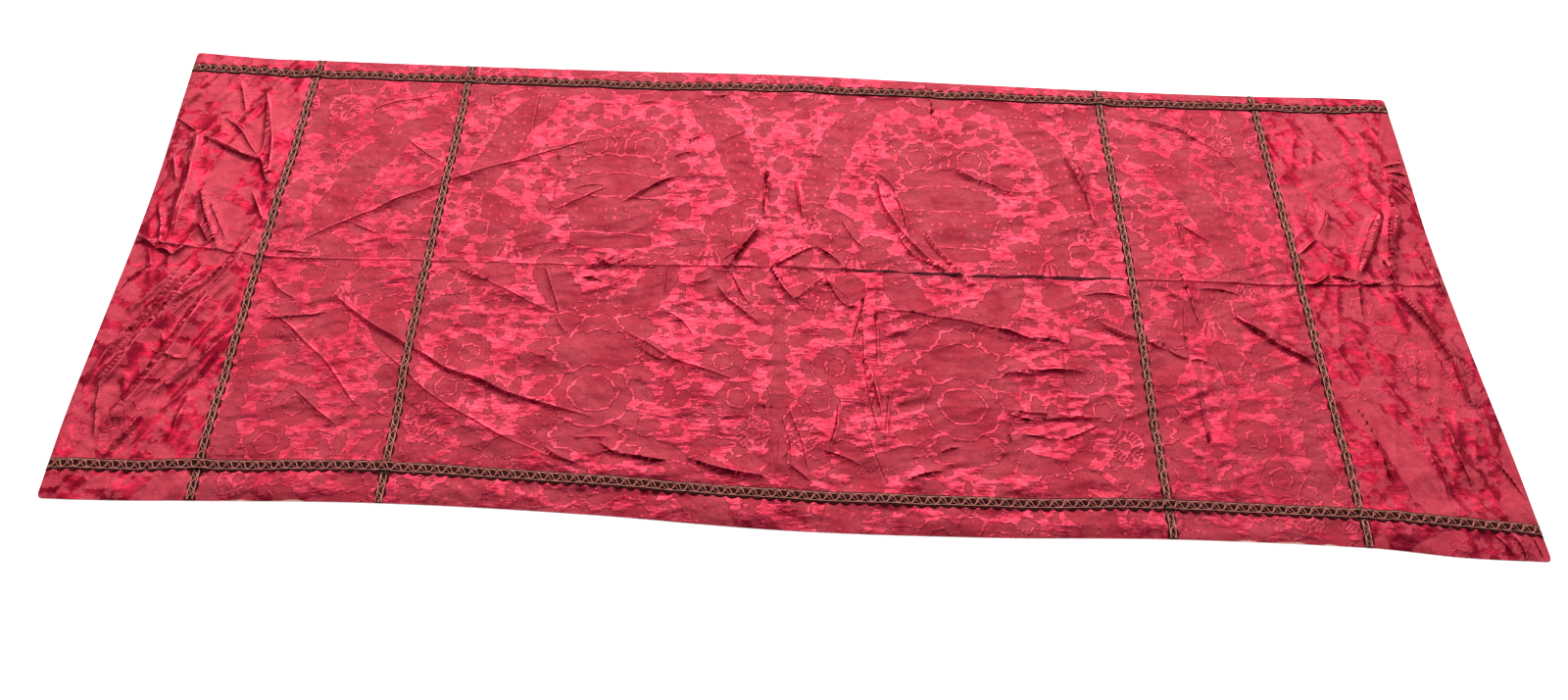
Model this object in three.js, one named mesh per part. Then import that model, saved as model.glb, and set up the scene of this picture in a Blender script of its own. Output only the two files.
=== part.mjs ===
import * as THREE from 'three';

// Sizes in millimetres. The hanging lies face up with its long sides along X and its hanging edge towards +Y.
const clothThickness = 1.2;
const braidThickness = 1.6;
const pieceGap = 0.3;
const sideBraidWidth = 17;
const seamBraidWidth = 14;
const crossingRamp = 6;
const columnStep = 36;
const rowStep = 27;
const storageCreaseRise = 4;
const storageCreaseHalfWidth = 26;

// The long sides, the braids beside them and the storage crease between them: y of each line along the length
const lengthStations = [
  { x: -1060, top: 424, topBraid: 386, crease: 14, bottomBraid: -371, bottom: -423 },
  { x: -930, top: 417, topBraid: 382, crease: 4, bottomBraid: -370, bottom: -422 },
  { x: -841, top: 418, topBraid: 383, crease: -8, bottomBraid: -366, bottom: -419 },
  { x: -585, top: 421, topBraid: 386, crease: -1, bottomBraid: -359, bottom: -413 },
  { x: -305, top: 427, topBraid: 391, crease: 3, bottomBraid: -368, bottom: -419 },
  { x: -32, top: 435, topBraid: 399, crease: 14, bottomBraid: -380, bottom: -433 },
  { x: 245, top: 433, topBraid: 401, crease: 11, bottomBraid: -382, bottom: -434 },
  { x: 521, top: 432, topBraid: 401, crease: 16, bottomBraid: -376, bottom: -427 },
  { x: 799, top: 435, topBraid: 404, crease: 20, bottomBraid: -380, bottom: -430 },
  { x: 930, top: 440, topBraid: 408, crease: 27, bottomBraid: -388, bottom: -440 },
  { x: 1060, top: 442.5, topBraid: 417, crease: 29, bottomBraid: -396, bottom: -442.5 },
];

// The short sides and the five seams between the six panels: x of each line across the width
const widthStations = [
  { y: -443, left: -1038.5, seam1: -835, seam2: -582, centre: -32, seam3: 521, seam4: 799, right: 1057.5 },
  { y: -290, left: -1043.5, seam1: -838, seam2: -582, centre: -32, seam3: 520, seam4: 798, right: 1054 },
  { y: -140, left: -1042.5, seam1: -840, seam2: -586, centre: -32, seam3: 522, seam4: 798, right: 1047 },
  { y: 20, left: -1040.5, seam1: -841, seam2: -586, centre: -33, seam3: 524, seam4: 799, right: 1041 },
  { y: 145, left: -1042.5, seam1: -841, seam2: -585, centre: -32, seam3: 523, seam4: 801, right: 1039 },
  { y: 270, left: -1049, seam1: -841, seam2: -582, centre: -31, seam3: 521, seam4: 799, right: 1043 },
  { y: 443, left: -1057.5, seam1: -841, seam2: -584, centre: -32, seam3: 519, seam4: 799, right: 1046.5 },
];

// The folds that stand up from the cloth: where each starts and ends, how far its middle bows to the left of
// that way, half its width and its rise
const folds = [
  { name: 'long ridge', from: [-835, -10], to: [-210, 292], bow: 34, half: 34, rise: 10 },
  { name: 'low pleat', from: [-730, -62], to: [-290, -272], bow: -30, half: 32, rise: 8 },
  { name: 'swell under the pleat', from: [-640, -150], to: [-310, -350], bow: -26, half: 46, rise: 4 },
  { name: 'inner left swell', from: [-820, -96], to: [-640, -270], bow: 12, half: 40, rise: 5 },
  { name: 'left centre crease', from: [-300, 122], to: [-206, 194], bow: 6, half: 28, rise: 5 },
  { name: 'left shoulder', from: [-405, 106], to: [-316, 162], bow: 0, half: 28, rise: 4 },
  { name: 'left swell', from: [-530, -10], to: [-380, -88], bow: -6, half: 34, rise: 4 },
  { name: 'middle swell', from: [-280, -112], to: [-96, -198], bow: -10, half: 38, rise: 5 },
  { name: 'knot west arm', from: [-136, -22], to: [-62, -96], bow: -6, half: 28, rise: 5 },
  { name: 'knot north arm', from: [-120, 4], to: [-66, 96], bow: 4, half: 28, rise: 7 },
  { name: 'knot east arm', from: [-60, 6], to: [74, 12], bow: 44, half: 30, rise: 8 },
  { name: 'knot south arm', from: [-58, 18], to: [4, -62], bow: -6, half: 28, rise: 6 },
  { name: 'knot tail', from: [-12, -56], to: [84, -62], bow: 40, half: 28, rise: 6 },
  { name: 'left seam pucker', from: [-65, 226], to: [-63, 106], bow: 0, half: 26, rise: 4 },
  { name: 'right seam pucker', from: [-10, 196], to: [-2, 116], bow: 0, half: 26, rise: 3.5 },
  { name: 'curved ridge', from: [116, 220], to: [264, -6], bow: -34, half: 30, rise: 8 },
  { name: 'ridge beside it', from: [196, 100], to: [270, -10], bow: -4, half: 28, rise: 5 },
  { name: 'upper right curve', from: [250, 240], to: [404, 190], bow: -21, half: 28, rise: 4 },
  { name: 'right upright ridge', from: [440, 276], to: [480, 120], bow: 6, half: 28, rise: 6 },
  { name: 'swell by the knot', from: [98, -58], to: [384, -116], bow: 10, half: 42, rise: 5 },
  { name: 'upright ridge', from: [94, -30], to: [118, -296], bow: -12, half: 30, rise: 6 },
  { name: 'foot of the ridge', from: [124, -372], to: [88, -266], bow: 0, half: 28, rise: 4 },
  { name: 'upper ruffle', from: [300, -168], to: [430, -160], bow: 3, half: 28, rise: 4 },
  { name: 'lower ruffle', from: [296, -232], to: [450, -240], bow: 3, half: 28, rise: 4 },
  { name: 'lower left pleat', from: [-296, -308], to: [-192, -336], bow: -6, half: 28, rise: 5 },
  { name: 'lower middle pleat', from: [-170, -326], to: [-40, -358], bow: -4, half: 28, rise: 5 },
  { name: 'seam fan', from: [-44, -262], to: [-18, -352], bow: 2, half: 32, rise: 4 },
  { name: 'inner right pull', from: [456, -66], to: [564, -116], bow: -2, half: 28, rise: 5 },
  { name: 'long pull', from: [676, -42], to: [796, -138], bow: -4, half: 28, rise: 6 },
  { name: 'inner right crease', from: [602, 44], to: [620, -70], bow: 0, half: 28, rise: 4 },
  { name: 'end crease', from: [-1010, 250], to: [-984, 14], bow: 6, half: 28, rise: 7 },
  { name: 'end cross crease', from: [-996, 232], to: [-878, 178], bow: 0, half: 28, rise: 6 },
  { name: 'end upright crease', from: [-916, 344], to: [-864, 128], bow: 8, half: 28, rise: 7 },
  { name: 'end knot', from: [-968, 118], to: [-908, 0], bow: -4, half: 28, rise: 6 },
  { name: 'end upper diagonal', from: [-856, 46], to: [-912, -92], bow: 8, half: 28, rise: 7 },
  { name: 'end long diagonal', from: [-924, -20], to: [-1022, -244], bow: 12, half: 30, rise: 8 },
  { name: 'end second diagonal', from: [-902, -72], to: [-986, -316], bow: 12, half: 30, rise: 8 },
  { name: 'end low diagonal', from: [-848, -146], to: [-934, -262], bow: 6, half: 28, rise: 5 },
  { name: 'far end fan', from: [1000, 262], to: [1032, 218], bow: 0, half: 28, rise: 5 },
  { name: 'far end upright', from: [1000, 226], to: [950, 6], bow: -8, half: 30, rise: 8 },
  { name: 'far end second upright', from: [968, 184], to: [892, 34], bow: -4, half: 28, rise: 6 },
  { name: 'far end diagonal', from: [946, 30], to: [1012, -200], bow: 22, half: 30, rise: 7 },
  { name: 'far end low crease', from: [958, -230], to: [972, -336], bow: 0, half: 28, rise: 5 },
  { name: 'far end edge crease', from: [1008, 104], to: [1030, -4], bow: 0, half: 28, rise: 4 },
];

// Reads one line of a station table at any place, as a smooth curve through its rows
function readLine(rows, key, line, at) {
  const last = rows.length - 1;
  let i = 0;
  while (i < last - 1 && at > rows[i + 1][key]) i += 1;
  const slope = (k) => {
    const before = rows[Math.max(k - 1, 0)];
    const after = rows[Math.min(k + 1, last)];
    return (after[line] - before[line]) / (after[key] - before[key]);
  };
  const span = rows[i + 1][key] - rows[i][key];
  const t = (at - rows[i][key]) / span;
  const rest = 1 - t;
  return rest * rest * (1 + 2 * t) * rows[i][line] + t * t * (3 - 2 * t) * rows[i + 1][line]
    + t * rest * span * (rest * slope(i) - t * slope(i + 1));
}

const acrossX = (line, y) => readLine(widthStations, 'y', line, y);
const alongY = (line, x) => readLine(lengthStations, 'x', line, x);

// How high one fold lifts the cloth at a place: a round crest that dies away at both ends
function foldLift(fold, x, y) {
  const run = [fold.to[0] - fold.from[0], fold.to[1] - fold.from[1]];
  const away = [x - fold.from[0], y - fold.from[1]];
  const length = Math.hypot(...run);
  const part = (away[0] * run[0] + away[1] * run[1]) / (length * length);
  if (part <= 0 || part >= 1) return 0;
  const side = (away[1] * run[0] - away[0] * run[1]) / length;
  const off = Math.abs(side - 4 * fold.bow * part * (1 - part)) / fold.half;
  if (off >= 1) return 0;
  return fold.rise * Math.cos(off * Math.PI / 2) ** 2 * Math.sin(part * Math.PI) ** 0.7;
}

// The height of the cloth's underside: zero where it lies on the surface
function clothHeight(x, y) {
  const off = Math.abs(y - alongY('crease', x)) / storageCreaseHalfWidth;
  let squares = off < 1 ? (storageCreaseRise * Math.cos(off * Math.PI / 2) ** 2) ** 2 : 0;
  for (const fold of folds) squares += foldLift(fold, x, y) ** 2;
  return Math.sqrt(squares);
}

// Places between two lines, a little inside each: evenly spaced, with both ends
function evenPlaces(from, to, fromInset, toInset, count) {
  return Array.from({ length: count + 1 }, (_, i) => ({ from, to, fromInset, toInset, part: i / count }));
}

// A place that keeps a fixed distance from one line, where the cloth's height is held to that line's
function besideLine(line, offset) {
  return { from: line, to: line, fromInset: offset, toInset: -offset, part: 0, heldTo: line };
}

const lines = ['left', 'seam1', 'seam2', 'centre', 'seam3', 'seam4', 'right'];
const braidedSeams = ['seam1', 'seam2', 'seam3', 'seam4'];
const halfSeamBraid = seamBraidWidth / 2;
const halfSideBraid = sideBraidWidth / 2;

// The columns of one panel, from its left line to its right one
function panelColumns(left, right) {
  const inset = (line) => (braidedSeams.includes(line) ? halfSeamBraid + crossingRamp : 0);
  const width = acrossX(right, 0) - acrossX(left, 0) - inset(left) - inset(right);
  const even = evenPlaces(left, right, inset(left), inset(right), Math.round(width / columnStep));
  const columns = even.slice(inset(left) ? 0 : 1, inset(right) ? undefined : -1);
  const edge = (line) => (line === 'left' || line === 'right' ? 0 : pieceGap / 2);
  columns.unshift(besideLine(left, edge(left)));
  columns.push(besideLine(right, -edge(right)));
  if (inset(left)) columns.splice(1, 0, besideLine(left, halfSeamBraid));
  if (inset(right)) columns.splice(-1, 0, besideLine(right, -halfSeamBraid));
  return columns;
}

// The rows that all pieces share, from the bottom edge to the top one
function sharedRows() {
  const between = (from, to, fromInset, toInset, skipFirst, skipLast) => {
    const depth = alongY(to, 0) - alongY(from, 0) - fromInset - toInset;
    const places = evenPlaces(from, to, fromInset, toInset, Math.round(depth / rowStep));
    return places.slice(skipFirst ? 1 : 0, skipLast ? -1 : undefined);
  };
  return [
    ...between('bottom', 'bottomBraid', 0, halfSideBraid, false, true),
    besideLine('bottomBraid', -halfSideBraid),
    besideLine('bottomBraid', halfSideBraid),
    ...between('bottomBraid', 'crease', halfSideBraid, 0, true, false),
    ...between('crease', 'topBraid', 0, halfSideBraid, true, true),
    besideLine('topBraid', -halfSideBraid),
    besideLine('topBraid', halfSideBraid),
    ...between('topBraid', 'top', halfSideBraid, 0, true, false),
  ];
}

// Where a column and a row meet, with the height of the cloth's underside there
function meetingPoint(column, row) {
  const placeOn = (place, read, at) => {
    const start = read(place.from, at) + place.fromInset;
    return start + place.part * (read(place.to, at) - place.toInset - start);
  };
  const nearX = placeOn(column, acrossX, 0);
  const x = placeOn(column, acrossX, placeOn(row, alongY, nearX));
  const y = placeOn(row, alongY, x);
  const heldX = column.heldTo ? acrossX(column.heldTo, y) : x;
  const heldY = row.heldTo ? alongY(row.heldTo, heldX) : y;
  return { x, y, height: clothHeight(heldX, heldY) };
}

// A closed sheet over columns and rows, whose cells are split along their flatter diagonal to keep creases crisp
function closedSheet(columns, rows, thickness, liftAt) {
  const grid = new THREE.PlaneGeometry(1, 1, columns.length - 1, rows.length - 1);
  const count = columns.length * rows.length;
  const points = new Float32Array(count * 6);
  rows.slice().reverse().forEach((row, j) => columns.forEach((column, i) => {
    const { x, y, height } = meetingPoint(column, row);
    const low = height + liftAt(column, row);
    const k = j * columns.length + i;
    points.set([x, y, low + thickness], k * 3);
    points.set([x, y, low], (count + k) * 3);
  }));
  const heightOf = (k) => points[k * 3 + 2];
  const faces = [];
  const addBothSides = (a, b, c) => faces.push(a, b, c, count + a, count + c, count + b);
  for (let cell = 0; cell < grid.index.count; cell += 6) {
    const [a, b, d, , c] = grid.index.array.slice(cell, cell + 6);
    const alongAC = Math.abs(heightOf(a) - heightOf(c)) < Math.abs(heightOf(b) - heightOf(d));
    addBothSides(a, b, alongAC ? c : d);
    addBothSides(alongAC ? a : b, c, d);
  }
  const wide = columns.length;
  const high = rows.length;
  const border = [];
  for (let j = 0; j < high - 1; j += 1) border.push(j * wide);
  for (let i = 0; i < wide - 1; i += 1) border.push((high - 1) * wide + i);
  for (let j = high - 1; j > 0; j -= 1) border.push(j * wide + wide - 1);
  for (let i = wide - 1; i > 0; i -= 1) border.push(i);
  border.forEach((p, k) => {
    const q = border[(k + 1) % border.length];
    faces.push(count + p, count + q, q, count + p, q, p);
  });
  const sheet = new THREE.BufferGeometry();
  sheet.setAttribute('position', new THREE.BufferAttribute(points, 3));
  sheet.setIndex(faces);
  sheet.computeVertexNormals();
  return sheet;
}

const hanging = new THREE.Group();

function addPiece(name, geometry, material) {
  const piece = new THREE.Mesh(geometry, material);
  piece.name = name;
  hanging.add(piece);
}

const damask = (color) => new THREE.MeshStandardMaterial({ color, roughness: 0.45, metalness: 0 });
const gimp = () => new THREE.MeshStandardMaterial({ color: 0x6b4a3c, roughness: 0.85, metalness: 0 });
const clothRows = sharedRows();

// Six panels of silk damask, side by side
const panels = [
  { name: 'panel_outer_left', color: 0xc23a56 },
  { name: 'panel_inner_left', color: 0xcc4860 },
  { name: 'panel_centre_left', color: 0xcf4a63 },
  { name: 'panel_centre_right', color: 0xcf4a63 },
  { name: 'panel_inner_right', color: 0xcc4860 },
  { name: 'panel_outer_right', color: 0xc23a56 },
];
const columnsOfPanels = panels.map((panel, i) => panelColumns(lines[i], lines[i + 1]));
panels.forEach((panel, i) => {
  const cloth = closedSheet(columnsOfPanels[i], clothRows, clothThickness, () => 0);
  addPiece(panel.name, cloth, damask(panel.color));
});

// A braid over each of the four outer seams, from edge to edge
const onCloth = clothThickness + pieceGap;
braidedSeams.forEach((seam, i) => {
  const columns = [besideLine(seam, -halfSeamBraid), besideLine(seam, halfSeamBraid)];
  addPiece(`seam_braid_${i + 1}`, closedSheet(columns, clothRows, braidThickness, () => onCloth), gimp());
});

// The two long braids, which climb over the seam braids where they cross
const seamColumn = (line) => besideLine(line, 0);
const longColumns = columnsOfPanels.flatMap((columns, i) => [
  ...(i ? [seamColumn(lines[i])] : []),
  ...columns.slice(i ? 1 : 0, i < panels.length - 1 ? -1 : undefined),
]);
const overSeamBraid = (column) => (braidedSeams.includes(column.heldTo) ? braidThickness + pieceGap : 0);
for (const [name, line] of [['braid_top', 'topBraid'], ['braid_bottom', 'bottomBraid']]) {
  const edges = [besideLine(line, -halfSideBraid), besideLine(line, halfSideBraid)];
  const lift = (column) => onCloth + overSeamBraid(column);
  addPiece(name, closedSheet(longColumns, edges, braidThickness, lift), gimp());
}

// The origin is the middle of the footprint
const footprint = new THREE.Box3().setFromObject(hanging).getCenter(new THREE.Vector3());
hanging.position.set(-footprint.x, -footprint.y, 0);

export default hanging;
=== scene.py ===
import math
import bmesh
import bpy
import numpy as np
from mathutils import Matrix, Vector


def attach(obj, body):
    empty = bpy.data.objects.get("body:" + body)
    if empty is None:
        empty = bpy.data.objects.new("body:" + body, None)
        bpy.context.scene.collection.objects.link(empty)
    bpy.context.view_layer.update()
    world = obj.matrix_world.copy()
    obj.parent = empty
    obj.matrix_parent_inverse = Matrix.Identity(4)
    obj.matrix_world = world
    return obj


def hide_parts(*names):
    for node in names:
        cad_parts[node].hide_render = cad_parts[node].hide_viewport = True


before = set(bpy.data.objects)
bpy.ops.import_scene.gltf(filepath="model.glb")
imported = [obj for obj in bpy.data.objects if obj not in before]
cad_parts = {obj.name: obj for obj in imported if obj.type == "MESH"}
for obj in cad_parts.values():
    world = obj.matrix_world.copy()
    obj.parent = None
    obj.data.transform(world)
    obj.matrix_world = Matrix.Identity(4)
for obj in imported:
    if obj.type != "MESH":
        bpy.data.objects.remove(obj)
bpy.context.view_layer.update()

# The cut and lie of the hanging
# Six lengths of crimson silk damask sewn side by side, hemmed all round and laid flat on a floor, face up.
# These tables give its edges, seams and braid lines in millimetres, as they lie a little crooked.
mm = 0.001
length_stations = {
    "x": (-1060, -930, -841, -585, -305, -32, 245, 521, 799, 930, 1060),
    "top": (424, 417, 418, 421, 427, 435, 433, 432, 435, 440, 442.5),
    "top_braid": (386, 382, 383, 386, 391, 399, 401, 401, 404, 408, 417),
    "crease": (14, 4, -8, -1, 3, 14, 11, 16, 20, 27, 29),
    "bottom_braid": (-371, -370, -366, -359, -368, -380, -382, -376, -380, -388, -396),
    "bottom": (-423, -422, -419, -413, -419, -433, -434, -427, -430, -440, -442.5),
}
width_stations = {
    "y": (-443, -290, -140, 20, 145, 270, 443),
    "left": (-1038.5, -1043.5, -1042.5, -1040.5, -1042.5, -1049, -1057.5),
    "seam_1": (-835, -838, -840, -841, -841, -841, -841),
    "seam_2": (-582, -582, -586, -586, -585, -582, -584),
    "centre": (-32, -32, -32, -33, -32, -31, -32),
    "seam_3": (521, 520, 522, 524, 523, 521, 519),
    "seam_4": (799, 798, 798, 799, 801, 799, 799),
    "right": (1057.5, 1054, 1047, 1041, 1039, 1043, 1046.5),
}
braided_seams = ("seam_1", "seam_2", "seam_3", "seam_4")


def read_line(stations, line, at):
    """One line of a station table at any place, as a smooth curve through its columns."""
    keys = np.array(next(iter(stations.values())), float)
    values = np.array(stations[line], float)
    slopes = np.empty_like(values)
    slopes[1:-1] = (values[2:] - values[:-2]) / (keys[2:] - keys[:-2])
    slopes[0] = (values[1] - values[0]) / (keys[1] - keys[0])
    slopes[-1] = (values[-1] - values[-2]) / (keys[-1] - keys[-2])
    i = np.clip(np.searchsorted(keys, at) - 1, 0, len(keys) - 2)
    span = keys[i + 1] - keys[i]
    t = (at - keys[i]) / span
    rest = 1 - t
    return (
        rest * rest * (1 + 2 * t) * values[i]
        + t * t * (3 - 2 * t) * values[i + 1]
        + t * rest * span * (rest * slopes[i] - t * slopes[i + 1])
    )


def across_x(line, y):
    return read_line(width_stations, line, y)


def along_y(line, x):
    return read_line(length_stations, line, x)


def edge_gaps(x, y):
    """How far each place is from the nearer short side, and from the nearer long side."""
    from_side = np.minimum(x - across_x("left", y), across_x("right", y) - x)
    from_end = np.minimum(y - along_y("bottom", x), along_y("top", x) - y)
    return from_side, from_end


# The folds and creases
# The silk has slack between its braids, so it stands up in a few long folds and many pressed creases.
# Each row runs from one point to another; bow is how far its middle stands off to the left of that way,
# half the width of its left slope, rise its height and steep its right slope's share of that width.
folds = (
    # from_x, from_y, to_x, to_y, bow, half, rise, steep
    (-835, -10, -300, 278, 27, 30, 4.6, 0.5),
    (-730, -62, -290, -272, -30, 34, 6, 0.3),
    (-640, -150, -310, -350, -26, 50, 8, 0.8),
    (-820, -96, -640, -270, 12, 46, 9, 0.7),
    (-300, 122, -206, 194, 6, 24, 5, 0.35),
    (-405, 106, -316, 162, 0, 26, 4, 0.5),
    (-530, -10, -380, -88, -6, 34, 4, 0.6),
    (-280, -112, -96, -198, -10, 38, 5, 0.5),
    (-136, -22, -62, -96, -6, 24, 5, 0.4),
    (-120, 4, -66, 96, 4, 24, 7, 0.5),
    (-60, 6, 74, 12, 44, 26, 3.4, 0.7),
    (-58, 18, 4, -62, -6, 26, 4, 0.6),
    (-12, -56, 84, -62, 40, 26, 3.6, 0.7),
    (-65, 226, -63, 106, 0, 20, 4, 0.4),
    (-10, 196, -2, 116, 0, 20, 3.5, 0.4),
    (116, 220, 264, -6, -34, 26, 6, 0.4),
    (196, 100, 270, -10, -4, 20, 5, 0.5),
    (250, 240, 404, 190, -21, 26, 4, 0.5),
    (440, 276, 480, 120, 6, 26, 6, 0.4),
    (98, -58, 384, -116, 10, 42, 5, 0.5),
    (94, -30, 118, -296, -12, 26, 4, 0.7),
    (124, -372, 88, -266, 0, 24, 4, 0.8),
    (300, -168, 430, -160, 3, 26, 4, 0.4),
    (296, -232, 450, -240, 3, 26, 4, 0.4),
    (-296, -308, -192, -336, -6, 26, 5, 0.35),
    (-170, -326, -40, -358, -4, 26, 5, 0.35),
    (-44, -262, -18, -352, 2, 32, 4, 1.0),
    (456, -66, 564, -116, -2, 24, 5, 0.35),
    (676, -42, 796, -138, -4, 24, 6, 0.3),
    (602, 44, 620, -70, 0, 24, 4, 0.6),
    (-1010, 250, -984, 14, 6, 26, 7, 0.6),
    (-996, 232, -878, 178, 0, 26, 6, 0.35),
    (-916, 344, -864, 128, 8, 26, 7, 0.6),
    (-968, 118, -908, 0, -4, 26, 6, 0.6),
    (-856, 46, -912, -92, 8, 26, 7, 0.7),
    (-924, -20, -1022, -244, 12, 28, 8, 0.45),
    (-902, -72, -986, -316, 12, 28, 8, 0.45),
    (-848, -146, -934, -262, 6, 26, 5, 0.7),
    (1000, 262, 1032, 218, 0, 26, 5, 0.6),
    (1000, 226, 950, 6, -8, 28, 8, 0.6),
    (968, 184, 892, 34, -4, 26, 6, 0.6),
    (946, 30, 1012, -200, 22, 28, 7, 0.6),
    (958, -230, 972, -336, 0, 26, 5, 0.6),
    (1008, 104, 1030, -4, 0, 26, 4, 0.6),
)
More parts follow.
